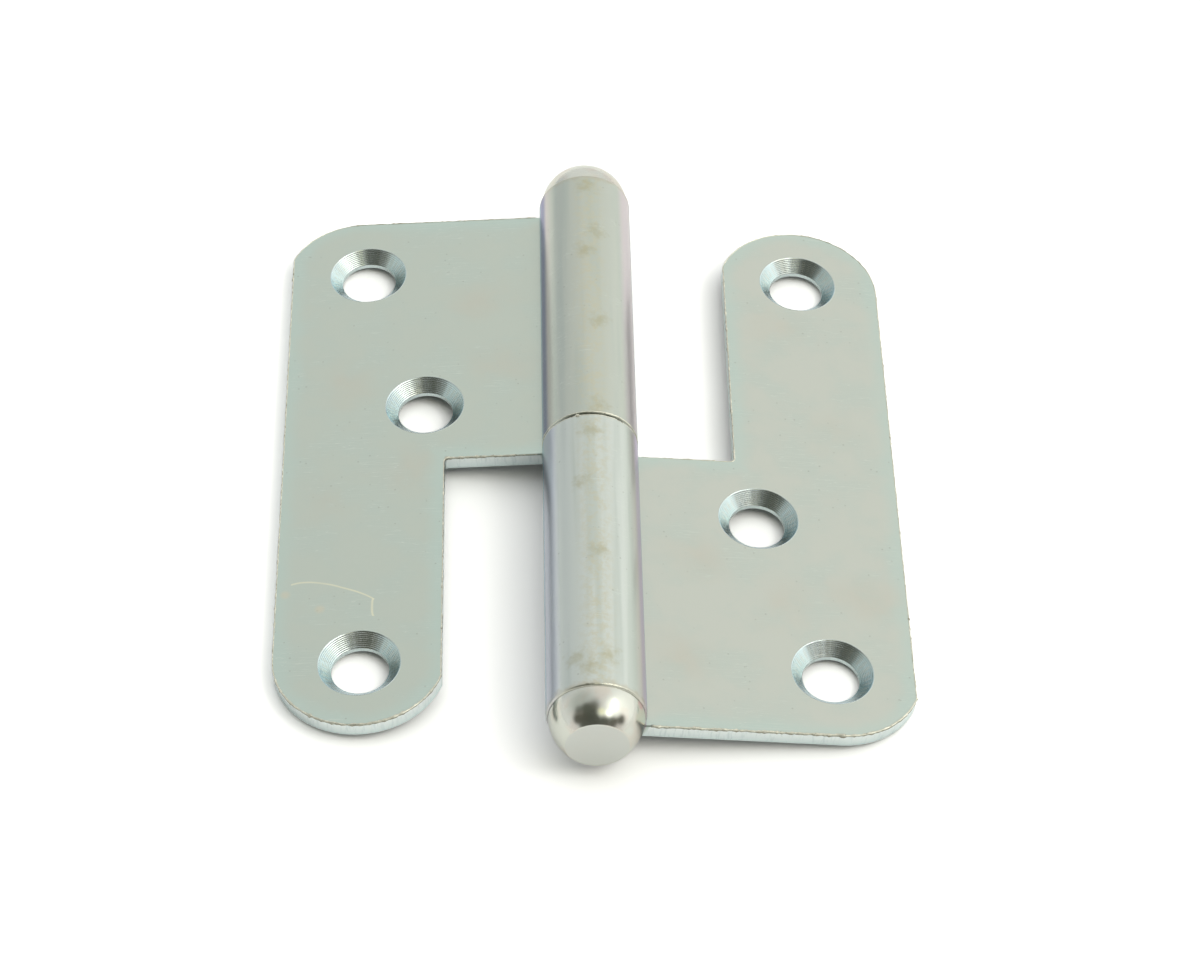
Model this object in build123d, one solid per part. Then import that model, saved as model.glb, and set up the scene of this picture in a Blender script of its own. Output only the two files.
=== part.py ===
from build123d import *
from math import acos, asin, atan2, degrees, hypot, isclose, sqrt
import os

# Lift-off hinge in zinc plated steel, lying open with its countersinks upwards.
# Millimetres. The origin is on the floor under the middle of the barrel, +Y runs along
# the barrel the way the upper leaf lifts off, +X points to the lower leaf and +Z is up.

# Sheet, barrel and pin
SHEET = 2.0
BARREL_DIA = 12.0
BORE_DIA = BARREL_DIA - 2 * SHEET
PIN_CLEARANCE = 0.05
PIN_DIA = BORE_DIA - 2 * PIN_CLEARANCE
PIN_TOP = 34.0
PIN_LEAD = 1.5
PIN_END_GAP = 0.5

# Leaf outline, measured from the pin axis outwards and from the middle of the barrel
LEAF_REACH = 38.8
PLATE_LENGTH = 43.6
STRIP_LENGTH = 42.3
STRIP_INNER_EDGE = 18.4
KNUCKLE_GAP = 0.2
CORNER_RADIUS = 10.0
CORNER_OVERRUN = 0.75
END_RADIUS = 10.5
NOTCH_RADIUS = 0.5

# How the sheet rolls into the knuckle
AXIS_ABOVE_FACE = 1.25
JOGGLE_RADIUS = 2.0
SEAM_GAP = 0.25
EDGE_BREAK = 0.15
RIM_ROUND = 0.3

# Screw holes: distance out from the pin axis and place along the barrel
SCREW_HOLES = [(28.8, -33.8), (21.0, -9.6), (28.3, 32.8)]
SINK_DIA = 10.0
HOLE_DIA = 7.0
SINK_ANGLE = 90.0

# Domed caps pressed into the barrel ends
DOME_RADIUS = 5.75
DOME_HEIGHT = 4.3
DOME_EDGE_ROUND = 0.2
SPIGOT_LENGTH = 6.0
SPIGOT_CLEARANCE = 0.02
SPIGOT_LEAD = 0.6

# Worked out from the values above
BARREL_RADIUS = BARREL_DIA / 2
BORE_RADIUS = BORE_DIA / 2
SPIGOT_RADIUS = BORE_RADIUS - SPIGOT_CLEARANCE
AXIS_ABOVE_BACK = AXIS_ABOVE_FACE + SHEET
KNUCKLE_LENGTH = PLATE_LENGTH - KNUCKLE_GAP / 2
# The barrel and the outer edges of both leaves stand on the floor together
OUTER_EDGE_FROM_AXIS = hypot(LEAF_REACH, AXIS_ABOVE_BACK)
LEAF_SAG = degrees(asin(BARREL_RADIUS / OUTER_EDGE_FROM_AXIS) - atan2(AXIS_ABOVE_BACK, LEAF_REACH))
JOGGLE_CENTRE_OUT = sqrt((BARREL_RADIUS + JOGGLE_RADIUS) ** 2 - (AXIS_ABOVE_BACK + JOGGLE_RADIUS) ** 2)
JOGGLE_CENTRE_UP = -(AXIS_ABOVE_BACK + JOGGLE_RADIUS)


def rolled_section():
    """Sheet seen along the barrel: leaf root, joggle under the barrel and the roll round the pin."""
    join = degrees(atan2(JOGGLE_CENTRE_UP, JOGGLE_CENTRE_OUT))
    tip = -degrees(asin((AXIS_ABOVE_FACE - SEAM_GAP) / BARREL_RADIUS))
    roll = tip - join - 360
    bend = 90 + join
    joggle_centre = (JOGGLE_CENTRE_OUT, JOGGLE_CENTRE_UP)
    bend_start = 180 + join
    with BuildSketch(Plane.XZ) as section:
        with BuildLine():
            inner = CenterArc((0, 0), BORE_RADIUS, join, roll)
            outer = CenterArc((0, 0), BARREL_RADIUS, join, roll)
            Line(inner @ 1, outer @ 1)
            face_bend = CenterArc(joggle_centre, JOGGLE_RADIUS + SHEET, bend_start, -bend)
            back_bend = CenterArc(joggle_centre, JOGGLE_RADIUS, bend_start, -bend)
            Line(face_bend @ 1, back_bend @ 1)
        make_face()
    return section.sketch


def blank_outline():
    """Flat outline of the leaf: a plate beside its knuckle and a strip that passes the other one."""
    corner_centre = (LEAF_REACH + CORNER_OVERRUN - CORNER_RADIUS, CORNER_RADIUS - PLATE_LENGTH)
    corner_turn = 90 - degrees(acos((LEAF_REACH - corner_centre[0]) / CORNER_RADIUS))
    end_centre = (LEAF_REACH - END_RADIUS, STRIP_LENGTH - END_RADIUS)
    end_turn = 180 - degrees(acos((end_centre[0] - STRIP_INNER_EDGE) / END_RADIUS))
    notch = -KNUCKLE_GAP / 2
    with BuildSketch() as outline:
        with BuildLine():
            corner = CenterArc(corner_centre, CORNER_RADIUS, -90, corner_turn)
            end = CenterArc(end_centre, END_RADIUS, 0, end_turn)
            Polyline(end @ 1, (STRIP_INNER_EDGE, notch), (JOGGLE_CENTRE_OUT, notch),
                     (JOGGLE_CENTRE_OUT, -PLATE_LENGTH), corner @ 0)
            Line(corner @ 1, end @ 0)
        make_face()
        inner_corner = outline.vertices().sort_by_distance((STRIP_INNER_EDGE, notch))[0]
        fillet(inner_corner, NOTCH_RADIUS)
    return outline.sketch


def is_thickness(edge):
    """True for the short straight edges that cross the sheet from face to face."""
    return edge.geom_type == GeomType.LINE and isclose(edge.length, SHEET)


def sheared_edges(pressing):
    """Edges where the cut sides of the blank meet its two faces, all round the pressing."""
    cut_sides = [side for side in pressing.faces() if any(map(is_thickness, side.edges()))]
    return ShapeList(edge for side in cut_sides for edge in side.edges() if not is_thickness(edge))


def rim_offcut():
    """Ring cut away to round the knuckle's free rim at its cap, from the joggle round to the seam."""
    join = degrees(atan2(JOGGLE_CENTRE_UP, JOGGLE_CENTRE_OUT))
    tip = -degrees(asin((AXIS_ABOVE_FACE - SEAM_GAP) / BARREL_RADIUS))
    with BuildPart() as ring:
        with BuildSketch():
            with BuildLine():
                round_centre = (BARREL_RADIUS - RIM_ROUND, RIM_ROUND - PLATE_LENGTH)
                rim = CenterArc(round_centre, RIM_ROUND, -90, 90)
                Polyline(rim @ 0, (BARREL_RADIUS, -PLATE_LENGTH), rim @ 1)
            make_face()
        revolve(axis=Axis.Y, revolution_arc=360 + join - tip)
    return Rot(0, -join, 0) * ring.part


def leaf():
    """One pressing, seen with its knuckle at -Y: blank, rolled knuckle and three countersunk holes."""
    with BuildPart() as pressing:
        add(Pos(0, 0, -AXIS_ABOVE_BACK) * blank_outline())
        extrude(amount=SHEET)
        add(Pos(0, -KNUCKLE_GAP / 2, 0) * rolled_section())
        extrude(amount=KNUCKLE_LENGTH, dir=(0, -1, 0))
        chamfer(sheared_edges(pressing), EDGE_BREAK)
        with Locations([(out, along, -AXIS_ABOVE_FACE) for out, along in SCREW_HOLES]):
            CounterSinkHole(HOLE_DIA / 2, SINK_DIA / 2, SHEET, SINK_ANGLE)
        add(rim_offcut(), mode=Mode.SUBTRACT)
    return pressing.part


def resting_leaf():
    """The lower leaf at its place: outer edge sagged down to the floor, barrel resting beside it."""
    return Pos(0, 0, BARREL_RADIUS) * Rot(0, LEAF_SAG, 0) * leaf()


def cap():
    """Domed plug at -Y: part of a ball with a flat end, and a spigot that goes into the bore."""
    dome_turn = degrees(asin(DOME_HEIGHT / DOME_RADIUS))
    spigot_end = SPIGOT_LENGTH - PLATE_LENGTH
    with BuildPart() as plug:
        with BuildSketch(Plane.XY.offset(BARREL_RADIUS)):
            with BuildLine():
                dome = CenterArc((0, -PLATE_LENGTH), DOME_RADIUS, 0, -dome_turn)
                Polyline(dome @ 1, (0, (dome @ 1).Y), (0, spigot_end),
                         (SPIGOT_RADIUS - SPIGOT_LEAD, spigot_end),
                         (SPIGOT_RADIUS, spigot_end - SPIGOT_LEAD),
                         (SPIGOT_RADIUS, -PLATE_LENGTH), dome @ 0)
            make_face()
        revolve(axis=Axis((0, 0, BARREL_RADIUS), (0, 1, 0)))
        flat_edge = plug.edges().filter_by(GeomType.CIRCLE).sort_by(Axis.Y)[0]
        fillet(flat_edge, DOME_EDGE_ROUND)
    return plug.part


def pin():
    """Plain turned pin: seated in the lower knuckle, with a lead at the end that the upper leaf drops over."""
    bottom = SPIGOT_LENGTH + PIN_END_GAP - PLATE_LENGTH
    with BuildPart() as rod:
        with BuildSketch(Plane.XZ.offset(-bottom) * Pos(0, BARREL_RADIUS)):
            Circle(PIN_DIA / 2)
        extrude(amount=bottom - PIN_TOP)
        chamfer(rod.edges().sort_by(Axis.Y)[-1], PIN_LEAD)
    return rod.part


os.makedirs("parts", exist_ok=True)
half_turn = Rot(0, 0, 180)
nodes = {
    "lower_leaf": resting_leaf(),
    "upper_leaf": half_turn * resting_leaf(),
    "pin": pin(),
    "lower_cap": cap(),
    "upper_cap": half_turn * cap(),
}
for name, solid in nodes.items():
    export_step(solid, f"parts/{name}.step")
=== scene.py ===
import bmesh
import bpy
import math
from mathutils import Matrix, Vector, noise


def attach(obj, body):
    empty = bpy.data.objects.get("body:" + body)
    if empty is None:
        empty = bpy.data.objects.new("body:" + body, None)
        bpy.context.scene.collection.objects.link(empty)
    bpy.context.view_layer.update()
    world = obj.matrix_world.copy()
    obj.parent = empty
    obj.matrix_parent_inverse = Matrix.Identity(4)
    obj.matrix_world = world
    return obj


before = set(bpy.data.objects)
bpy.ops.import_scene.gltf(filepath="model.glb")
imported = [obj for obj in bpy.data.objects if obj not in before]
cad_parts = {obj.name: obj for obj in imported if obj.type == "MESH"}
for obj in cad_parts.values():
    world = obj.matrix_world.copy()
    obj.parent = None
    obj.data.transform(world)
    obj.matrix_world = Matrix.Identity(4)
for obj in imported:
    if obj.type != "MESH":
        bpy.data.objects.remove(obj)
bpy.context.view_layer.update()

# Lift-off hinge in zinc plated steel, lying open on white paper under soft studio light.
# Sizes are in millimetres and turned to metres by MM where they reach Blender. The origin is
# on the floor under the middle of the barrel, +Y runs along the barrel the way the upper leaf
# lifts off, +X points to the lower leaf and +Z is up.
MM = 0.001

# Sheet and barrel
SHEET = 2.0
BARREL_RADIUS = 6.0
AXIS_ABOVE_FACE = 1.25
AXIS_ABOVE_BACK = AXIS_ABOVE_FACE + SHEET
EDGE_BREAK = 0.15

# Leaf outline, measured from the pin axis outwards and from the middle of the barrel
LEAF_REACH = 38.8
PLATE_LENGTH = 43.6
STRIP_INNER_EDGE = 18.4
NOTCH_EDGE = -0.1
NOTCH_RADIUS = 0.5
CORNER_RADIUS = 10.0
CORNER_CENTRE = (29.55, -33.6)
END_RADIUS = 10.5
END_CENTRE = (28.3, 31.8)
BARREL_CORNER = 6.6

# Screw holes: distance out from the pin axis and place along the barrel
SCREW_HOLES = {"outer": (28.8, -33.8), "inner": (21.0, -9.6), "strip": (28.3, 32.8)}
SINK_RADIUS = 5.0
HOLE_RADIUS = 3.5
SINK_DEPTH = SINK_RADIUS - HOLE_RADIUS

# Both leaves sag from the barrel until their outer edges rest on the floor
LEAF_SAG = math.asin(BARREL_RADIUS / math.hypot(LEAF_REACH, AXIS_ABOVE_BACK)) - math.atan2(
    AXIS_ABOVE_BACK, LEAF_REACH)
SIDES = {"lower": 1, "upper": -1}


def on_leaf_face(out, along):
    """Place on a leaf's countersunk face, from the pin axis, in millimetres."""
    return (out, along, -AXIS_ABOVE_FACE)


def on_barrel_skin(along, angle):
    """Place on the barrel's skin from its axis, in millimetres; the angle is degrees right of the crest."""
    turn = math.radians(angle)
    return (BARREL_RADIUS * math.sin(turn), along, BARREL_RADIUS * math.cos(turn))


# Marks of use and of the plating bath: beige patches on each leaf, stains on each side's knuckle, the
# tones of each leaf, the lower one painted lighter and warmer as painted light, the tones of each knuckle,
# the film at the knuckle's root with painted shade and reflection of the crease beside its leaf, the film
# on its free flank, a pink spot at the near cap's rim, pale spots on the upper leaf's strip and the long
# scratch there
BEIGE_PATCHES = {
    SIDES["lower"]: [on_leaf_face(26.8, 24.0), on_leaf_face(31.0, 6.3), on_leaf_face(23.0, -22.9),
                     on_leaf_face(13.4, -17.0), on_leaf_face(32.9, -22.0), on_leaf_face(10.4, -33.0)],
    SIDES["upper"]: [on_leaf_face(14.0, -28.2), on_leaf_face(11.4, -17.0), on_leaf_face(32.6, 6.2),
                     on_leaf_face(32.0, -14.7), on_leaf_face(24.0, 1.6)],
}
BARREL_STAINS = {
    SIDES["lower"]: [on_barrel_skin(-40.6, -9), on_barrel_skin(-39.4, -26), on_barrel_skin(-38.9, 17),
                     on_barrel_skin(-22.7, 6), on_barrel_skin(-11.3, -10), on_barrel_skin(-2.9, -2)],
    SIDES["upper"]: [on_barrel_skin(41.5, 0), on_barrel_skin(33.1, 10), on_barrel_skin(29.3, -3),
                     on_barrel_skin(16.5, 13), on_barrel_skin(1.5, 8)],
}
# The lower leaf's tone is painted a little lighter and warmer than the upper's, as painted light from the
# bright right side
LEAF_TONES_AND_PAINTED_LIGHT = {SIDES["lower"]: "#cbd0c6", SIDES["upper"]: "#c4cdc2"}
BARREL_TONES = {SIDES["lower"]: "#d0d7d0", SIDES["upper"]: "#c3c9be"}
# Film tint at each knuckle's root, with painted shade and reflection of the crease where the barrel meets
# its leaf; the dark blue-purple of the upper knuckle is mostly painted shade
ROOT_FILM_AND_PAINTED_SHADE = {SIDES["lower"]: "#c4b6d2", SIDES["upper"]: "#767ca6"}
FREE_FLANK_TINTS = {SIDES["lower"]: "#c8cae2", SIDES["upper"]: "#d8c8d2"}
CAP_PINK = [(5.07, -43.9, 2.7)]
PALE_SPOTS = [on_leaf_face(33.3, 24.1), on_leaf_face(37.6, 21.6)]
SCRATCH = [(26.74, 22.81), (28.35, 21.76), (30.45, 20.84), (33.05, 19.97), (35.26, 19.69), (36.96, 20.0)]
SCRATCH_HOOK = [(22.7, 26.74), (23.77, 26.95), (25.53, 26.74)]

# Camera of the photograph: place above the floor, direction, and lens on a 36 mm wide sensor
CAMERA_PLACE = (-14.75, -308.5, 333.87)
CAMERA_YAW = 3.01
CAMERA_PITCH = 47.35
CAMERA_ROLL = 2.58
CAMERA_LENS = 107.74
SENSOR_WIDTH = 36
CLIP_START = 0.01


def on_leaf(side, out, along, up):
    """Point of one leaf in metres: out from the pin axis, along the barrel and up off the axis."""
    x = out * math.cos(LEAF_SAG) + up * math.sin(LEAF_SAG)
    z = BARREL_RADIUS - out * math.sin(LEAF_SAG) + up * math.cos(LEAF_SAG)
    return Vector((side * x, side * along, z)) * MM


def photo_camera():
    """Camera near the lower end of the barrel, a little left of it, looking down along it."""
    yaw, pitch, roll = (math.radians(a) for a in (CAMERA_YAW, CAMERA_PITCH, CAMERA_ROLL))
    level = math.cos(pitch)
    ahead = Vector((math.sin(yaw) * level, math.cos(yaw) * level, -math.sin(pitch)))
    right = ahead.cross(Vector((0, 0, 1))).normalized()
    up = right.cross(ahead)
    leaning_right = right * math.cos(roll) + up * math.sin(roll)
    leaning_up = up * math.cos(roll) - right * math.sin(roll)
    data = bpy.data.cameras.new("photo_camera")
    data.lens = CAMERA_LENS
    data.sensor_width = SENSOR_WIDTH
    data.clip_start = CLIP_START
    camera = bpy.data.objects.new("photo_camera", data)
    turn = Matrix((leaning_right, leaning_up, -ahead)).transposed().to_4x4()
    camera.matrix_world = Matrix.Translation(Vector(CAMERA_PLACE) * MM) @ turn
    bpy.context.scene.collection.objects.link(camera)
    bpy.context.scene.camera = camera


def linear(hex_colour):
    """Linear colour with alpha from an sRGB hex value."""
    shares = [int(hex_colour[i:i + 2], 16) / 255 for i in (1, 3, 5)]
    return [s / 12.92 if s <= 0.04045 else ((s + 0.055) / 1.055) ** 2.4 for s in shares] + [1.0]


def new(tree, kind, inputs=(), **settings):
    """Adds a node with its settings. An input is a value, or the node or socket that feeds it."""
    made = tree.nodes.new("ShaderNode" + kind)
    for name, value in settings.items():
        setattr(made, name, value)
    sockets = [s for s in made.inputs if s.enabled]
    for key, value in inputs.items() if isinstance(inputs, dict) else enumerate(inputs):
        socket = sockets[key] if isinstance(key, int) else next(s for s in sockets if s.name == key)
        if isinstance(value, bpy.types.Node):
            value = next(s for s in value.outputs if s.enabled)
        if isinstance(value, bpy.types.NodeSocket):
            tree.links.new(value, socket)
        else:
            socket.default_value = value
    return made


def empty_material(name):
    """Material with an empty node tree."""
    material = bpy.data.materials.new(name)
    material.use_nodes = True
    material.node_tree.nodes.clear()
    return material


# What stands round the table, as the metal of the hinge mirrors it. Each is a soft patch of sky:
# azimuth from the far side towards the right, elevation, half width and soft edge in degrees,
# brightness and tint. The camera looks out of a dark gap in the white round it.
STUDIO_WHITE = 0.90
STUDIO = {
    "dim left side": (-80, 52, 28, 20, 0.60, "#f6faf6"),
    "dim far left": (-44, 10, 14, 16, 0.68, "#f0f4fa"),
    "far wall": (18, 44, 18, 15, 0.98, "#fffefa"),
    "bright right wall": (84, 28, 28, 22, 1.45, "#fffefa"),
    "low right wall": (68, 4, 20, 14, 1.25, "#fffefa"),
    "dim ceiling": (-135, 82, 10, 10, 0.42, "#f8f8f4"),
    "dim ceiling over the gap": (-148, 68, 15, 8, 0.15, "#f8f8e8"),
    "gap, left of the camera": (-152, 47, 21, 5, 0.11, "#f4f8e4"),
    "gap, further left": (-124, 30, 13, 5, 0.12, "#f4f8e4"),
    "dim wall beside the gap": (-109, 43, 10, 6, 0.20, "#f4f8ec"),
    "dim wall above it": (-120, 60, 12, 5, 0.13, "#f4f8e4"),
    "gap, low at the left": (-148, 28, 14, 5, 0.11, "#f4f8e4"),
    "gap, at the camera": (-172, 40, 17, 5, 0.10, "#f4f8e4"),
    "gap, right of the camera": (158, 38, 13, 5, 0.11, "#f4f8e4"),
    "gap, further right": (136, 30, 12, 5, 0.12, "#f4f8e4"),
    "gap, low at the right": (116, 21, 11, 5, 0.12, "#f4f8e4"),
    "yellow wall over the camera": (157, 62, 8, 4, 1.35, "#f4f4d4"),
    "halo of the softbox": (103, 50, 19, 8, 1.5, "#fffef8"),
    "softbox, far end": (84, 50, 4, 6, 5.0, "#fffef8"),
    "softbox, middle": (103, 50, 6, 6, 5.0, "#fffef8"),
    "softbox, near end": (134, 51, 6, 6, 3.4, "#fffdf4"),
}

# How far over white the paper is where the camera sees it and where metal mirrors it, and half its
# width in metres
PAPER_SEEN = 1.7
PAPER_MIRRORED = 1.28
PAPER_HALF = 3.0


def studio_light():
    """Soft white studio with one softbox at the right and the dark gap where the camera stands."""
    world = bpy.data.worlds.new("soft_white_studio")
    world.use_nodes = True
    tree = world.node_tree
    tree.nodes.clear()
    looking = new(tree, "TexCoord").outputs["Generated"]
    colour = [STUDIO_WHITE] * 3 + [1.0]
    for azimuth, elevation, half_width, soft_edge, level, tint in STUDIO.values():
        turn, rise = math.radians(azimuth), math.radians(elevation)
        centre = (math.sin(turn) * math.cos(rise), math.cos(turn) * math.cos(rise), math.sin(rise))
        facing = new(tree, "VectorMath", [looking, centre], operation="DOT_PRODUCT").outputs["Value"]
        angle = new(tree, "Math", [facing], operation="ARCCOSINE")
        inside = new(tree, "MapRange", {
            "Value": angle,
            "From Min": math.radians(half_width + soft_edge),
            "From Max": math.radians(half_width - soft_edge),
        }, interpolation_type="SMOOTHSTEP")
        patch = [c * level for c in linear(tint)[:3]] + [1.0]
        colour = new(tree, "Mix", {"Factor": inside, "A": colour, "B": patch}, data_type="RGBA")
    light = new(tree, "Background", {"Color": colour})
    new(tree, "OutputWorld", {"Surface": light})
    bpy.context.scene.world = world


def white_paper():
    """White background paper: matt, and over white where it is seen or mirrored, as photographed.

    Light that has bounced more often meets plain paper, which keeps the gaps under the leaves dark.
    """
    material = empty_material("white_background_paper")
    tree = material.node_tree
    fibres = new(tree, "TexNoise", {"Scale": 900.0, "Detail": 3.0})
    tone = new(tree, "Mix", {
        "Factor": fibres, "A": linear("#a8aaae"), "B": linear("#b2b4b6"),
    }, data_type="RGBA")
    path = new(tree, "LightPath").outputs
    seen = new(tree, "Math", [path["Is Camera Ray"], path["Is Glossy Ray"]], operation="MAXIMUM")
    seen = new(tree, "Math", [seen, path["Is Transmission Ray"]], operation="MAXIMUM")
    bounces = new(tree, "Math", [path["Ray Depth"], 1.5], operation="LESS_THAN")
    seen = new(tree, "Math", [seen, bounces], operation="MULTIPLY")
    exposed = new(tree, "Mix", {
        "Factor": path["Is Camera Ray"], "A": [PAPER_MIRRORED] * 3 + [1.0], "B": [PAPER_SEEN] * 3 + [1.0],
    }, data_type="RGBA")
    tone = new(tree, "Mix", {"Factor": seen, "A": tone, "B": exposed}, data_type="RGBA")
    matt = new(tree, "BsdfDiffuse", {"Color": tone})
    below = new(tree, "NewGeometry").outputs["Backfacing"]
    clear = new(tree, "BsdfTransparent")
    surface = new(tree, "MixShader", [below, matt, clear])
    new(tree, "OutputMaterial", {"Surface": surface})
    return material


def paper_floor():
    """Flat sheet of white paper under the hinge, clear when it is looked through from below."""
    mesh = bpy.data.meshes.new("paper_floor")
    corners = [(x * PAPER_HALF, y * PAPER_HALF, 0) for x, y in ((-1, -1), (1, -1), (1, 1), (-1, 1))]
    mesh.from_pydata(corners, [], [(0, 1, 2, 3)])
    floor = bpy.data.objects.new("paper_floor", mesh)
    floor.data.materials.append(white_paper())
    bpy.context.scene.collection.objects.link(floor)


def leaf_places(tree, side):
    """Millimetre coordinates of a leaf (out, along, up), and of the barrel from its own axis."""
    place = new(tree, "TexCoord").outputs["Object"]
    leaf = new(tree, "Mapping", {
        "Vector": place,
        "Scale": (side / MM, side / MM, 1 / MM),
        "Rotation": (0, -LEAF_SAG, 0),
        "Location": (BARREL_RADIUS * math.sin(LEAF_SAG), 0, -BARREL_RADIUS * math.cos(LEAF_SAG)),
    })
    barrel = new(tree, "Mapping", {
        "Vector": place,
        "Scale": (1 / MM, 1 / MM, 1 / MM),
        "Location": (0, 0, -BARREL_RADIUS),
    })
    return leaf, barrel


def from_point(tree, out, along, centre):
    """Millimetres between two places on a leaf's face."""
    place = new(tree, "CombineXYZ", [out, along])
    offset = new(tree, "VectorMath", [place, (*centre, 0)], operation="SUBTRACT")
    return new(tree, "VectorMath", [offset], operation="LENGTH").outputs["Value"]


def edge_distance(tree, out, along):
    """Millimetres from a point of a leaf's face to the nearest sheared edge."""
    past_strip = new(tree, "Math", [out, STRIP_INNER_EDGE], operation="SUBTRACT")
    past_notch = new(tree, "Math", [NOTCH_EDGE, along], operation="SUBTRACT")
    corner_out = new(tree, "Math", [out, CORNER_CENTRE[0]], operation="MAXIMUM")
    corner_along = new(tree, "Math", [along, CORNER_CENTRE[1]], operation="MINIMUM")
    from_corner = from_point(tree, corner_out, corner_along, CORNER_CENTRE)
    from_end = from_point(tree, out, along, END_CENTRE)
    before_end = new(tree, "Math", [END_CENTRE[1], along], operation="SUBTRACT")
    inside_end = new(tree, "Math", [END_RADIUS, from_end], operation="SUBTRACT")
    nearest = new(tree, "Math", [LEAF_REACH, out], operation="SUBTRACT")
    for distance in (
        new(tree, "Math", [past_strip, past_notch], operation="MAXIMUM"),
        new(tree, "Math", [CORNER_RADIUS, from_corner], operation="SUBTRACT"),
        new(tree, "Math", [inside_end, before_end], operation="MAXIMUM"),
    ):
        nearest = new(tree, "Math", [nearest, distance], operation="MINIMUM")
    return nearest


def tinted(tree, base, tint, measure, full, gone, strength=1.0, within=None):
    """Base colour turned towards a tint where a measure is at full, and softly back to the base at gone."""
    share = new(tree, "MapRange", {
        "Value": measure, "From Min": gone, "From Max": full, "To Min": 0.0, "To Max": strength,
    }, interpolation_type="SMOOTHSTEP")
    if within is not None:
        share = new(tree, "Math", [share, within], operation="MULTIPLY")
    return new(tree, "Mix", {"Factor": share, "A": base, "B": linear(tint)}, data_type="RGBA")


def nearest_spot(tree, place, spots):
    """Millimetres from a place to the nearest of several spots."""
    nearest, *others = [
        new(tree, "VectorMath", [place, spot], operation="DISTANCE").outputs["Value"] for spot in spots
    ]
    for distance in others:
        nearest = new(tree, "Math", [nearest, distance], operation="MINIMUM")
    return nearest


# Millimetres by which noise pushes the limits of the beige patches, of the mint band along the edges
# and of the stains, the place of the barrel's rubbed crest, and the depth of the metal's grain
CLOUD_PUSH = 14.0
EDGE_PUSH = 2.2
STAIN_PUSH = 5.0
CREST_ACROSS = 0.2
GRAIN_DEPTH = 0.004


def leaf_film(tree, leaf, out, along, side, small_clouds):
    """Flat of a leaf: mint grey with soft beige patches, and a mint band along every edge."""
    clouds = new(tree, "TexNoise", {"Vector": leaf, "Scale": 1 / 9, "Detail": 3.0})
    clouds = new(tree, "Math", [clouds, CLOUD_PUSH], operation="MULTIPLY")
    patch = new(tree, "Math", [nearest_spot(tree, leaf, BEIGE_PATCHES[side]), clouds], operation="ADD")
    # Each leaf's tone, the lower one with painted light
    colour = tinted(tree, linear(LEAF_TONES_AND_PAINTED_LIGHT[side]), "#cac5b6", patch, 4.5, 13.0, 0.5)
    colour = tinted(tree, colour, "#bccbc3", small_clouds, 0.7, 0.4, 0.4)
    # Band about 1.5 mm wide with an uneven inner limit
    edge = edge_distance(tree, out, along)
    waver = new(tree, "Math", [small_clouds, EDGE_PUSH], operation="MULTIPLY")
    edge = new(tree, "Math", [edge, waver], operation="SUBTRACT")
    return tinted(tree, colour, "#bfd4cc", edge, -0.9, 1.6, 0.5)


def barrel_film(tree, base, barrel, across, out, side, on_barrel):
    """Round of the barrel: soft bands along it and a beige worn crest.

    Its film goes pink or lavender on the flanks and teal at the edges. Over the knuckle's own leaf
    the flank is deeper, with painted shade and reflection of the crease where the barrel meets the leaf.
    """
    colour = new(tree, "Mix", {
        "Factor": on_barrel, "A": base, "B": linear(BARREL_TONES[side]),
    }, data_type="RGBA")
    bands_along = new(tree, "Mapping", {"Vector": barrel, "Scale": (0.8, 0.03, 0.8)})
    bands = new(tree, "TexNoise", {"Vector": bands_along, "Scale": 1.0, "Detail": 2.0, "Roughness": 0.4})
    colour = tinted(tree, colour, "#b7c1b8", bands, 0.7, 0.4, 0.55, on_barrel)
    # The crest lies a little right of the middle; the rub on it is fine and broken
    from_crest = new(tree, "Math", [across, CREST_ACROSS], operation="SUBTRACT")
    from_crest = new(tree, "Math", [from_crest], operation="ABSOLUTE")
    rub = new(tree, "TexNoise", {"Vector": barrel, "Scale": 1 / 0.8, "Detail": 5.0, "Roughness": 0.7})
    worn = new(tree, "MapRange", {
        "Value": from_crest, "From Min": 3.0, "From Max": 0.3,
    }, interpolation_type="SMOOTHSTEP")
    worn = new(tree, "Math", [worn, on_barrel], operation="MULTIPLY")
    colour = tinted(tree, colour, "#c9c6ac", rub, 0.66, 0.40, 0.6, worn)
    flank = new(tree, "Math", [across], operation="ABSOLUTE")
    colour = tinted(tree, colour, "#dccacc", out, 5.3, 4.0, 0.5, on_barrel)
    # Painted shade and reflection of the crease on the flank over the knuckle's own leaf, over the film's
    # tint
    colour = tinted(tree, colour, ROOT_FILM_AND_PAINTED_SHADE[side], out, 5.5, 4.9, 0.85, on_barrel)
    colour = tinted(tree, colour, FREE_FLANK_TINTS[side], out, -5.3, -4.3, 0.6, on_barrel)
    return tinted(tree, colour, "#b4d2dc", flank, 5.97, 5.8, 0.7, on_barrel)


def dried_stains(tree, base, barrel, spots, on_barrel):
    """Olive-brown stains a few millimetres across, left where the plating bath dried on the barrel."""
    ragged = new(tree, "TexNoise", {"Vector": barrel, "Scale": 1 / 1.2, "Detail": 5.0, "Roughness": 0.65})
    ragged = new(tree, "Math", [ragged, STAIN_PUSH], operation="MULTIPLY")
    distance = new(tree, "Math", [nearest_spot(tree, barrel, spots), ragged], operation="ADD")
    colour = tinted(tree, base, "#afab88", distance, 2.2, 4.4, 0.5, on_barrel)
    from_middle = new(tree, "Math", [new(tree, "SeparateXYZ", [barrel]).outputs["Y"]], operation="ABSOLUTE")
    at_cap = new(tree, "Math", [ragged, 0.5, from_middle], operation="MULTIPLY_ADD")
    return tinted(tree, colour, "#bfb8a2", at_cap, PLATE_LENGTH + 1.2, PLATE_LENGTH + 0.2, 0.5, on_barrel)


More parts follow.
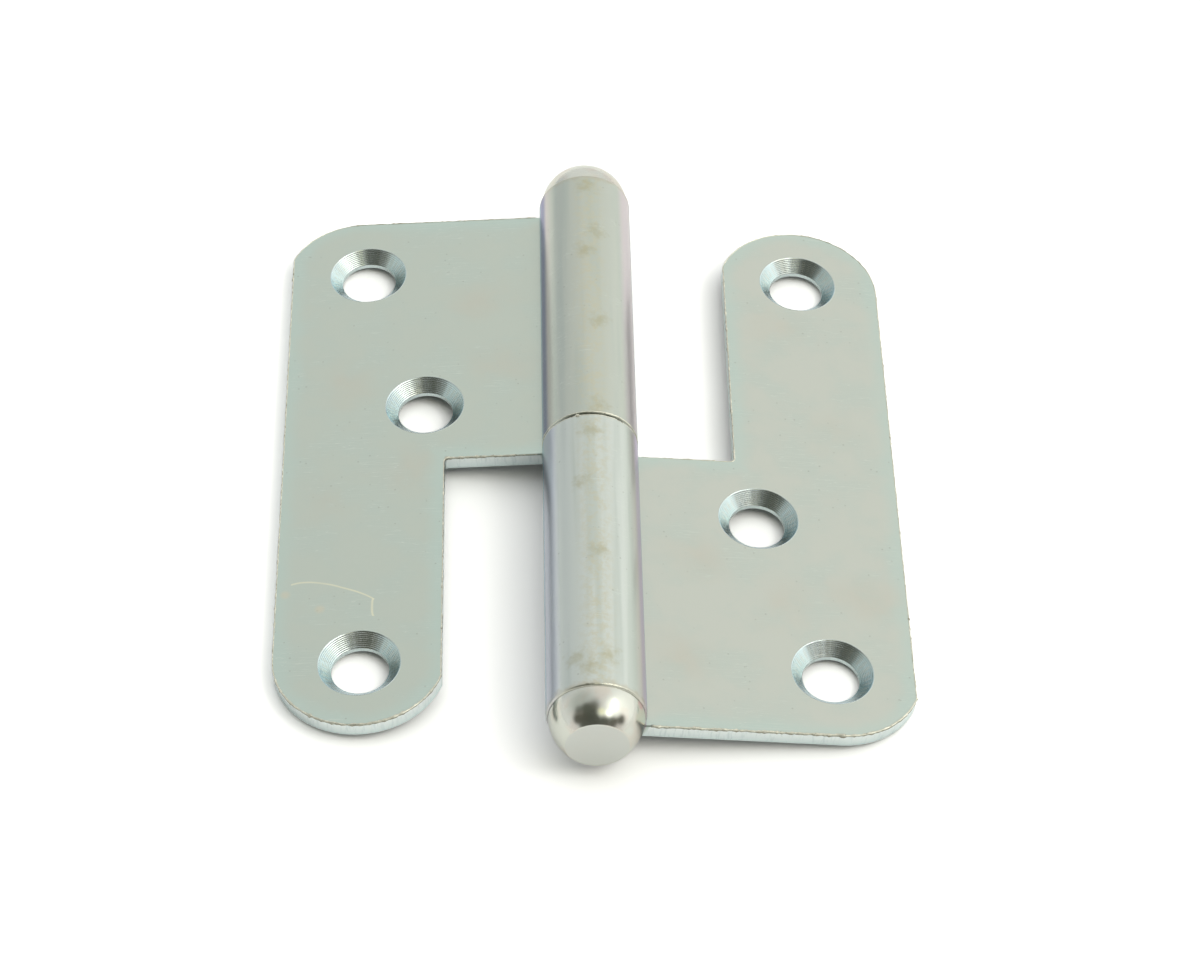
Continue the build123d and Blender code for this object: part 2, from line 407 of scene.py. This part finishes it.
def handling_marks(tree, base, leaf, small_clouds):
    """Fine dots in the plating, and faint straight scratches a few millimetres long in two directions."""
    # Drawn about 0.2 mm across, coarser than the real ones
    dots = new(tree, "TexVoronoi", {"Vector": leaf, "Scale": 1 / 1.3}).outputs["Distance"]
    dotted = new(tree, "MapRange", {"Value": small_clouds, "From Min": 0.48, "From Max": 0.56})
    colour = tinted(tree, base, "#9a9f94", dots, 0.05, 0.13, 0.4, dotted)
    scratched = new(tree, "MapRange", {"Value": small_clouds, "From Min": 0.52, "From Max": 0.62})
    for turn in (0.5, -1.1):
        lines = new(tree, "Mapping", {"Vector": leaf, "Rotation": (0, 0, turn), "Scale": (0.12, 3.2, 1.0)})
        line = new(tree, "TexNoise", {"Vector": lines, "Scale": 1.0, "Detail": 1.0})
        line = new(tree, "Math", [line, 0.5], operation="SUBTRACT")
        line = new(tree, "Math", [line], operation="ABSOLUTE")
        colour = tinted(tree, colour, "#dbe2d8", line, 0.002, 0.012, 0.4, scratched)
    return colour


def long_scratch(tree, base, leaf, out, along, up, small_clouds):
    """Long pale scratch with a hooked end on the face of the upper leaf's strip, and pale spots beside it.

    The scratch's place along the leaf follows from the place out, the hook's the other way round.
    """
    colour = base
    on_face = new(tree, "Math", [up, -AXIS_ABOVE_FACE - SHEET / 2], operation="GREATER_THAN")
    for track, measure, other in ((SCRATCH, out, along), (SCRATCH_HOOK, along, out)):
        first, last = track[0][0], track[-1][0]
        low, high = min(y for x, y in track), max(y for x, y in track)
        run = new(tree, "MapRange", {"Value": measure, "From Min": first, "From Max": last})
        path = new(tree, "FloatCurve", {"Value": run})
        curve = path.mapping.curves[0]
        for i, (x, y) in enumerate(track):
            point = ((x - first) / (last - first), (y - low) / (high - low))
            if 0 < i < len(track) - 1:
                curve.points.new(*point)
            else:
                curve.points[0 if i == 0 else -1].location = point
        path.mapping.update()
        middle = new(tree, "MapRange", {"Value": path, "To Min": low, "To Max": high})
        aside = new(tree, "Math", [other, middle], operation="SUBTRACT")
        aside = new(tree, "Math", [aside], operation="ABSOLUTE")
        inside = new(tree, "Math", [measure, (first + last) / 2, abs(last - first) / 2], operation="COMPARE")
        broken = new(tree, "Math", [inside, small_clouds], operation="MULTIPLY")
        broken = new(tree, "Math", [broken, on_face], operation="MULTIPLY")
        colour = tinted(tree, colour, "#eeebcc", aside, 0.02, 0.22, 1.1, broken)
    spot = nearest_spot(tree, leaf, PALE_SPOTS)
    return tinted(tree, colour, "#d6cfb8", spot, 0.2, 0.9, 0.5, on_face)


def rolled_sheet(name, side):
    """Rolled steel sheet, bright zinc plated: satin grey with a faint play of beige, mint and lavender.

    The plating follows the rolled sheet's fine grain, so it mirrors the studio only softly. Its
    clear passive film is a little thicker near edges, which turns the grey towards mint there,
    and on the bent metal of the barrel, where it goes to lavender on the flanks. Beside its own
    leaf the knuckle's flank also carries painted shade and reflection of the crease, dark
    blue-purple on the upper knuckle. The lower leaf is painted a little lighter and warmer than
    the upper, as painted light.
    """
    material = empty_material(name)
    tree = material.node_tree
    leaf, barrel = leaf_places(tree, side)
    out, along, up = new(tree, "SeparateXYZ", [leaf]).outputs
    across, _, height = new(tree, "SeparateXYZ", [barrel]).outputs
    small_clouds = new(tree, "TexNoise", {"Vector": leaf, "Scale": 1 / 5, "Detail": 3.0})
    colour = leaf_film(tree, leaf, out, along, side, small_clouds)

    off_axis = new(tree, "CombineXYZ", [across, 0.0, height])
    from_axis = new(tree, "VectorMath", [off_axis], operation="LENGTH").outputs["Value"]
    on_barrel = new(tree, "MapRange", {
        "Value": from_axis, "From Min": BARREL_RADIUS + 0.2, "From Max": BARREL_RADIUS + 0.05,
    }, interpolation_type="SMOOTHSTEP")
    colour = barrel_film(tree, colour, barrel, across, out, side, on_barrel)
    colour = dried_stains(tree, colour, barrel, BARREL_STAINS[side], on_barrel)
    colour = handling_marks(tree, colour, leaf, small_clouds)
    if side == SIDES["upper"]:
        colour = long_scratch(tree, colour, leaf, out, along, up, small_clouds)

    # Cut sides of the sheet: pale blue-grey, where the plating lies on torn metal
    facing = new(tree, "Mapping", {
        "Vector": new(tree, "TexCoord").outputs["Normal"],
        "Scale": (side, side, 1),
        "Rotation": (0, -LEAF_SAG, 0),
    })
    facing_up = new(tree, "SeparateXYZ", [facing]).outputs["Z"]
    steep = new(tree, "Math", [facing_up], operation="ABSOLUTE")
    off_barrel = new(tree, "MapRange", {
        "Value": from_axis, "From Min": BARREL_RADIUS + 0.3, "From Max": BARREL_RADIUS + 0.6,
    })
    cut = new(tree, "MapRange", {"Value": steep, "From Min": 0.6, "From Max": 0.35, "To Max": off_barrel})
    torn_along = new(tree, "Mapping", {"Vector": leaf, "Scale": (2.5, 2.5, 0.5)})
    torn = new(tree, "TexNoise", {"Vector": torn_along, "Scale": 1.2, "Detail": 4.0})
    colour = new(tree, "Mix", {"Factor": cut, "A": colour, "B": linear("#eff6f4")}, data_type="RGBA")
    # Deeper blue-grey towards the bottom of each cut side
    colour = tinted(tree, colour, "#bcd6d6", up, -AXIS_ABOVE_BACK, -AXIS_ABOVE_FACE, 0.4, cut)
    colour = tinted(tree, colour, "#aabdc0", torn, 0.7, 0.48, 0.25, cut)

    grain = new(tree, "TexNoise", {"Vector": leaf, "Scale": 1 / 0.35, "Detail": 3.0})
    rough = new(tree, "MapRange", {"Value": grain, "To Min": 0.26, "To Max": 0.38})
    relief = new(tree, "Math", [torn, cut, grain], operation="MULTIPLY_ADD")
    bump = new(tree, "Bump", {"Height": relief, "Distance": GRAIN_DEPTH * MM})
    metal = new(tree, "BsdfPrincipled", {
        "Base Color": colour, "Metallic": 1.0, "Roughness": rough, "Normal": bump,
    })
    new(tree, "OutputMaterial", {"Surface": metal})
    return material


def polished_plug():
    """Turned steel plug, polished and zinc plated: mirrors the studio clearly; its flat end is painted a
    little darker as painted shade.
    """
    material = empty_material("polished_zinc_plated_plug")
    tree = material.node_tree
    place = new(tree, "TexCoord").outputs["Object"]
    barrel = new(tree, "Mapping", {
        "Vector": place, "Scale": (1 / MM,) * 3, "Location": (0, 0, -BARREL_RADIUS),
    })
    clouds = new(tree, "TexNoise", {"Vector": barrel, "Scale": 1 / 3, "Detail": 3.0})
    colour = tinted(tree, linear("#d4d7cd"), "#d6cdc0", clouds, 0.62, 0.42, 0.6)
    grain = new(tree, "TexNoise", {"Vector": barrel, "Scale": 4.0, "Detail": 2.0})
    # The flat end is turned; it is painted a little darker than the polished dome as painted shade, for the
    # shaded paper that it mirrors
    facing = new(tree, "SeparateXYZ", [new(tree, "TexCoord").outputs["Normal"]]).outputs["Y"]
    flat = new(tree, "Math", [facing], operation="ABSOLUTE")
    colour = tinted(tree, colour, "#cdd0ca", flat, 0.99, 0.93, 0.9)
    pink = new(tree, "Math", [nearest_spot(tree, barrel, CAP_PINK), grain], operation="ADD")
    colour = tinted(tree, colour, "#d99fa6", pink, 0.9, 1.3, 0.6)
    rough = new(tree, "MapRange", {"Value": grain, "To Min": 0.15, "To Max": 0.21})
    metal = new(tree, "BsdfPrincipled", {"Base Color": colour, "Metallic": 1.0, "Roughness": rough})
    new(tree, "OutputMaterial", {"Surface": metal})
    return material


def drawn_rod():
    """Drawn steel rod: plain grey with fine lines along its length."""
    material = empty_material("drawn_steel_rod")
    tree = material.node_tree
    place = new(tree, "TexCoord").outputs["Object"]
    lines = new(tree, "Mapping", {"Vector": place, "Scale": (3 / MM, 0.05 / MM, 3 / MM)})
    drawn = new(tree, "TexNoise", {"Vector": lines, "Scale": 1.0, "Detail": 3.0})
    colour = tinted(tree, linear("#a9aaa6"), "#8f908c", drawn, 1.0, 0.0)
    rough = new(tree, "MapRange", {"Value": drawn, "To Min": 0.22, "To Max": 0.36})
    bump = new(tree, "Bump", {"Height": drawn, "Distance": GRAIN_DEPTH * MM})
    metal = new(tree, "BsdfPrincipled", {
        "Base Color": colour, "Metallic": 1.0, "Roughness": rough, "Normal": bump,
    })
    new(tree, "OutputMaterial", {"Surface": metal})
    return material


def turned_sink_zinc():
    """Countersink cut by a turning tool before plating, smoother than the sheet.

    So it mirrors the studio more clearly. Its film is a pale blue-grey, and tints that follow the
    wall's facing add painted reflection and shade, bluest and darkest on the near wall.
    """
    material = empty_material("zinc_plated_turned_countersink")
    tree = material.node_tree
    coordinates = new(tree, "TexCoord").outputs
    clouds = new(tree, "TexNoise", {"Vector": coordinates["Object"], "Scale": 1 / (2.5 * MM), "Detail": 3.0})
    facing = new(tree, "SeparateXYZ", [coordinates["Normal"]]).outputs
    colour = tinted(tree, linear("#d0dad8"), "#cacab8", clouds, 0.65, 0.45, 0.4)
    # Painted reflection and shade over the film's blue-grey: paler cyan where the wall faces +X, darker
    # where it faces -X, and a deeper blue on the near wall, which faces +Y
    colour = tinted(tree, colour, "#cbe0e4", facing["X"], 0.6, 0.35, 0.7)
    colour = tinted(tree, colour, "#b0cac8", facing["X"], -0.6, -0.3, 0.7)
    colour = tinted(tree, colour, "#a9c8d2", facing["Y"], 0.3, -0.1, 0.75)
    rough = new(tree, "MapRange", {"Value": clouds, "To Min": 0.18, "To Max": 0.26})
    metal = new(tree, "BsdfPrincipled", {"Base Color": colour, "Metallic": 1.0, "Roughness": rough})
    new(tree, "OutputMaterial", {"Surface": metal})
    return material


def burr_zinc():
    """Burr of torn steel under a thin plating: beige-grey with dark dots and bright rubbed specks.

    Its underside is painted a dull olive, as painted shade.
    """
    material = empty_material("zinc_plated_shear_burr")
    tree = material.node_tree
    place = new(tree, "TexCoord").outputs["Object"]
    facing_up = new(tree, "SeparateXYZ", [new(tree, "TexCoord").outputs["Normal"]]).outputs["Z"]
    grit = new(tree, "TexNoise", {"Vector": place, "Scale": 1 / (0.6 * MM), "Detail": 3.0, "Roughness": 0.7})
    colour = tinted(tree, linear("#d8d8c8"), "#8e8a76", grit, 0.72, 0.60)
    colour = tinted(tree, colour, "#f0efde", grit, 0.38, 0.50)
    # Painted shade: the faces of the burr that do not face up turn a dull olive
    colour = tinted(tree, colour, "#7c7a66", facing_up, 0.2, 0.65, 0.8)
    rough = new(tree, "MapRange", {"Value": grit, "To Min": 0.25, "To Max": 0.55})
    metal = new(tree, "BsdfPrincipled", {"Base Color": colour, "Metallic": 1.0, "Roughness": rough})
    new(tree, "OutputMaterial", {"Surface": metal})
    return material


def lip_zinc():
    """Lip pushed up round a knuckle's end: rubbed bright, with brown specks of bath dried in the joint."""
    material = empty_material("zinc_plated_rubbed_lip")
    tree = material.node_tree
    place = new(tree, "TexCoord").outputs["Object"]
    specks = new(tree, "TexNoise", {
        "Vector": place, "Scale": 1 / (0.8 * MM), "Detail": 4.0, "Roughness": 0.7,
    })
    colour = tinted(tree, linear("#efefdf"), "#8c7f70", specks, 0.68, 0.58, 0.7)
    rough = new(tree, "MapRange", {"Value": specks, "To Min": 0.35, "To Max": 0.6})
    metal = new(tree, "BsdfPrincipled", {"Base Color": colour, "Metallic": 1.0, "Roughness": rough})
    new(tree, "OutputMaterial", {"Surface": metal})
    return material


def piece(name, rings, material, body, closed=False):
    """Closed skin through rings of points: one piece that rides on a body, in the given material."""
    mesh = bmesh.new()
    rows = [[mesh.verts.new(point) for point in ring] for ring in rings]
    around = len(rows[0])
    pairs = list(zip(rows, rows[1:])) + ([(rows[-1], rows[0])] if closed else [])
    for near, far in pairs:
        for i in range(around):
            j = (i + 1) % around
            mesh.faces.new((near[i], near[j], far[j], far[i]))
    if not closed:
        mesh.faces.new(rows[0])
        mesh.faces.new(rows[-1])
    bmesh.ops.recalc_face_normals(mesh, faces=mesh.faces)
    for face in mesh.faces:
        face.smooth = True
    data = bpy.data.meshes.new(name)
    mesh.to_mesh(data)
    mesh.free()
    data.materials.append(material)
    made = bpy.data.objects.new(name, data)
    bpy.context.scene.collection.objects.link(made)
    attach(made, body)


# Tool rings of a countersink: small steps whose treads lie flatter than the wall, drawn 0.24 mm apart,
# coarser than real ones, so that they show. Each ring has its points at these shares of its width,
# with these shares of the step's height
SINK_STEPS = 128
SINK_RINGS = 9
RING_PROFILE = ((0.0, 0.0), (0.28, 0.33), (0.56, 0.66), (0.84, 1.0))
RING_HEIGHT = 0.017
SINK_SKIN = 0.004
RING_UNEVEN = 0.25
SINK_UNDER = 0.12
LAND_LAP = 0.03

# Raised rim of a countersink, with burrs where a noise of a few waves round it is high
RIM_WIDTH = 0.05
RIM_FOOT = 0.002
RIM_HEIGHT = 0.004
RIM_BURR = 0.02
RIM_WAVES = 3
RIM_CONTRAST = 2.2
RIM_THRESHOLD = 0.2


def turned_sink(name, side, centre, material, body):
    """Skin of one countersink as the tool left it: shallow rings, a raised rim and small burrs on it."""
    treads = [
        ((ring + share) / SINK_RINGS, rise) for ring in range(SINK_RINGS) for share, rise in RING_PROFILE
    ]
    rings = []
    for step in range(SINK_STEPS):
        angle = step / SINK_STEPS * math.tau
        direction = Vector((math.cos(angle), math.sin(angle)))
        rough = noise.noise(Vector((direction.x * RIM_WAVES, direction.y * RIM_WAVES, sum(centre))))
        burr = RIM_BURR * max(0.0, rough * RIM_CONTRAST - RIM_THRESHOLD) + RIM_HEIGHT
        profile = [(SINK_RADIUS + RIM_WIDTH, -SINK_UNDER), (SINK_RADIUS + RIM_WIDTH, RIM_FOOT),
                   (SINK_RADIUS + RIM_WIDTH / 2, burr)]
        for down, rise in treads + [(1.0, 0.0)]:
            wave = Vector((direction.x * 2, direction.y * 2, down * SINK_RINGS + centre[1]))
            uneven = 1 + RING_UNEVEN * noise.noise(wave)
            lift = (SINK_SKIN + RING_HEIGHT * rise * uneven) / math.sqrt(2)
            profile.append((SINK_RADIUS - SINK_DEPTH * down - lift, -SINK_DEPTH * down + lift))
        profile += [(HOLE_RADIUS - SINK_SKIN, -SINK_DEPTH - LAND_LAP),
                    (HOLE_RADIUS + SINK_UNDER, -SINK_DEPTH - SINK_UNDER)]
        ring = []
        for radius, rise in profile:
            out, along = centre[0] + radius * direction.x, centre[1] + radius * direction.y
            ring.append(on_leaf(side, out, along, rise - AXIS_ABOVE_FACE))
        rings.append(ring)
    piece(name, rings, material, body, closed=True)


# Beads of burr and lip: points round each centre, how far noise pushes them, and its waves for a millimetre
BEAD_SIDES = 6
BEAD_PUSH = 0.7
BEAD_WAVES = 2.5

# The shear burr is heaviest on the edges that face the near end, and slight beside the other knuckle
BURR_STEP = 0.3
BURR_RADIUS = 0.13
BURR_WEIGHT = 0.75
BURR_WEIGHT_NEAR_END = 0.45
BURR_WEIGHT_NOTCH = 0.4
BURR_COARSE, COARSE_WAVES = 0.35, 0.9
BURR_FINE, FINE_WAVES = 0.9, 2.9

# Lips round the knuckles' inner ends, and the angles right of the crest between which each one swells
LIP_STEPS = 180
LIP_RADIUS = 0.06
UPPER_LIP_SWELL, UPPER_LIP_SPAN = 0.09, (-8, 68)
LOWER_LIP_SWELL, LOWER_LIP_SPAN = 0.14, (-20, -14)


def arc(centre, radius, start, end):
    """Points of an arc in degrees, about a burr step apart."""
    turn = math.radians(end - start)
    steps = max(2, round(abs(turn) * radius / BURR_STEP))
    angles = [math.radians(start) + turn * i / steps for i in range(steps + 1)]
    return [(centre[0] + radius * math.cos(a), centre[1] + radius * math.sin(a)) for a in angles]


def sheared_line():
    """Edge of a leaf's countersunk face, from the barrel round the leaf to the notch, in millimetres."""
    corner_end = -math.degrees(math.acos((LEAF_REACH - CORNER_CENTRE[0]) / CORNER_RADIUS))
    strip_end = 180 - math.degrees(math.acos((END_CENTRE[0] - STRIP_INNER_EDGE) / END_RADIUS))
    notch_centre = (STRIP_INNER_EDGE - NOTCH_RADIUS, NOTCH_EDGE + NOTCH_RADIUS)
    runs = (
        [(BARREL_CORNER, -PLATE_LENGTH)] + arc(CORNER_CENTRE, CORNER_RADIUS, -90, corner_end)
        + arc(END_CENTRE, END_RADIUS, 0, strip_end) + arc(notch_centre, NOTCH_RADIUS, 0, -90)
        + [(BARREL_CORNER, NOTCH_EDGE)]
    )
    line = []
    for start, end in zip(runs, runs[1:]):
        steps = max(1, round(math.dist(start, end) / BURR_STEP))
        line += [tuple(a + (b - a) * i / steps for a, b in zip(start, end)) for i in range(steps)]
    return line + [runs[-1]]


def bead(name, centres, radii, reference, material, body, closed=False):
    """Irregular bead of metal along a line: points round each centre, pushed in and out by noise."""
    rings = []
    for i, (centre, radius) in enumerate(zip(centres, radii)):
        before = centres[i - 1] if i or closed else centre
        after = centres[(i + 1) % len(centres)] if i + 1 < len(centres) or closed else centre
        ahead = (after - before).normalized()
        sideways = ahead.cross(reference).normalized()
        ring = []
        for k in range(BEAD_SIDES):
            angle = math.tau * k / BEAD_SIDES
            push = 1 + BEAD_PUSH * noise.noise(centre * (BEAD_WAVES / MM) + Vector((angle, 0, 0)))
            outwards = reference * math.sin(angle) + sideways * math.cos(angle)
            ring.append(centre + outwards * radius * push * MM)
        rings.append(ring)
    piece(name, rings, material, body, closed)


def shear_burr(name, side, material, body):
    """Rough burr that the punch left along the edge of the countersunk face."""
    line = sheared_line()
    centres, radii = [], []
    for i, place in enumerate(line):
        before, after = line[max(i - 1, 0)], line[min(i + 1, len(line) - 1)]
        ahead = Vector((after[0] - before[0], after[1] - before[1])).normalized()
        inwards = Vector((-ahead.y, ahead.x)) * EDGE_BREAK / 2
        out, along = place[0] + inwards.x, place[1] + inwards.y
        centres.append(on_leaf(side, out, along, -AXIS_ABOVE_FACE - EDGE_BREAK / 2))
        coarse = noise.noise(Vector((place[0] * COARSE_WAVES, place[1] * COARSE_WAVES, side)))
        fine = noise.noise(Vector((place[0] * FINE_WAVES, place[1] * FINE_WAVES, side + 7)))
        weight = BURR_WEIGHT + BURR_WEIGHT_NEAR_END * max(0.0, side * inwards.y * 2 / EDGE_BREAK)
        if place[1] == NOTCH_EDGE:
            weight = BURR_WEIGHT_NOTCH
        radii.append(BURR_RADIUS * weight * (1 + BURR_COARSE * coarse + BURR_FINE * max(0.0, fine)))
    reference = on_leaf(side, 0, 0, 1) - on_leaf(side, 0, 0, 0)
    bead(name, centres, radii, reference.normalized(), material, body)


def knuckle_lip(name, along, swell, material, body):
    """Thin lip of metal round one end of a knuckle; swell gives its radius at an angle from the crest."""
    centres, radii = [], []
    reach = BARREL_RADIUS - LIP_RADIUS / 2
    for i in range(LIP_STEPS):
        turn = math.tau * (i / LIP_STEPS - 0.5)
        centres.append(Vector((reach * math.sin(turn), along, BARREL_RADIUS + reach * math.cos(turn))) * MM)
        radii.append(swell(math.degrees(turn)))
    bead(name, centres, radii, Vector((0, 1, 0)), material, body, closed=True)


def upper_lip_swell(angle):
    """Radius of the lip at the upper knuckle's foot: pushed up from the crest round to the right."""
    start, end = UPPER_LIP_SPAN
    if not start < angle < end:
        return LIP_RADIUS
    return LIP_RADIUS + UPPER_LIP_SWELL * math.sin(math.pi * (angle - start) / (end - start))


def lower_lip_swell(angle):
    """Radius of the lip at the lower knuckle's head: thin, with one burr a little left of the crest."""
    start, end = LOWER_LIP_SPAN
    return LIP_RADIUS + (LOWER_LIP_SWELL if start < angle < end else 0.0)


def finish_details():
    """Countersink skins, shear burrs and knuckle lips of both leaves."""
    turned, burr, rubbed = turned_sink_zinc(), burr_zinc(), lip_zinc()
    for leaf, side in SIDES.items():
        body = leaf + "_side"
        for hole, centre in SCREW_HOLES.items():
            turned_sink(f"{leaf}_leaf_{hole}_countersink", side, centre, turned, body)
        shear_burr(f"{leaf}_leaf_shear_burr", side, burr, body)
        swell = upper_lip_swell if leaf == "upper" else lower_lip_swell
        knuckle_lip(f"{leaf}_knuckle_lip", side * (NOTCH_EDGE - EDGE_BREAK), swell, rubbed, body)


def finish_cad_nodes():
    """Gives every CAD node its own plated or drawn finish."""
    finishes = {
        "lower_leaf": rolled_sheet("zinc_plated_rolled_sheet_lower", SIDES["lower"]),
        "upper_leaf": rolled_sheet("zinc_plated_rolled_sheet_upper", SIDES["upper"]),
        "pin": drawn_rod(),
    }
    finishes["lower_cap"] = finishes["upper_cap"] = polished_plug()
    for name, material in finishes.items():
        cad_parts[name].material_slots[0].material = material


photo_camera()
studio_light()
paper_floor()
finish_cad_nodes()
finish_details()

bpy.context.scene.view_settings.view_transform = "Standard"
